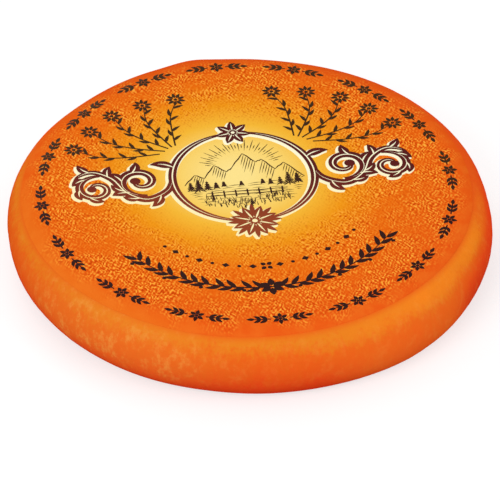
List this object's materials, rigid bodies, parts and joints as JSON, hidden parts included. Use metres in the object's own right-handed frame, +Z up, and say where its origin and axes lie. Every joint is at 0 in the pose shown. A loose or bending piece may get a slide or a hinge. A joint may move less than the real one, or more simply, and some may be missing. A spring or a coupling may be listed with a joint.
{
  "type": "washed-rind cheese wheel",
  "caption": "Whole flat round washed-rind cheese with a rounded side, a slightly dished top and a printed paper disc glued on it; it rests on its flat base.",
  "frame": {"origin": "centre of the bounding box's bottom, on the flat base", "axes": "+Z up through the label, +Y towards the back of the print, +X to its right"},
  "size_m": [0.249, 0.2496, 0.0393],
  "materials": {
    "rind": null,
    "label": "printed paper, satin"
  },
  "bodies": {
    "root": {"cheese_wheel": "rind", "top_label": "label"}
  },
  "joints": []
}
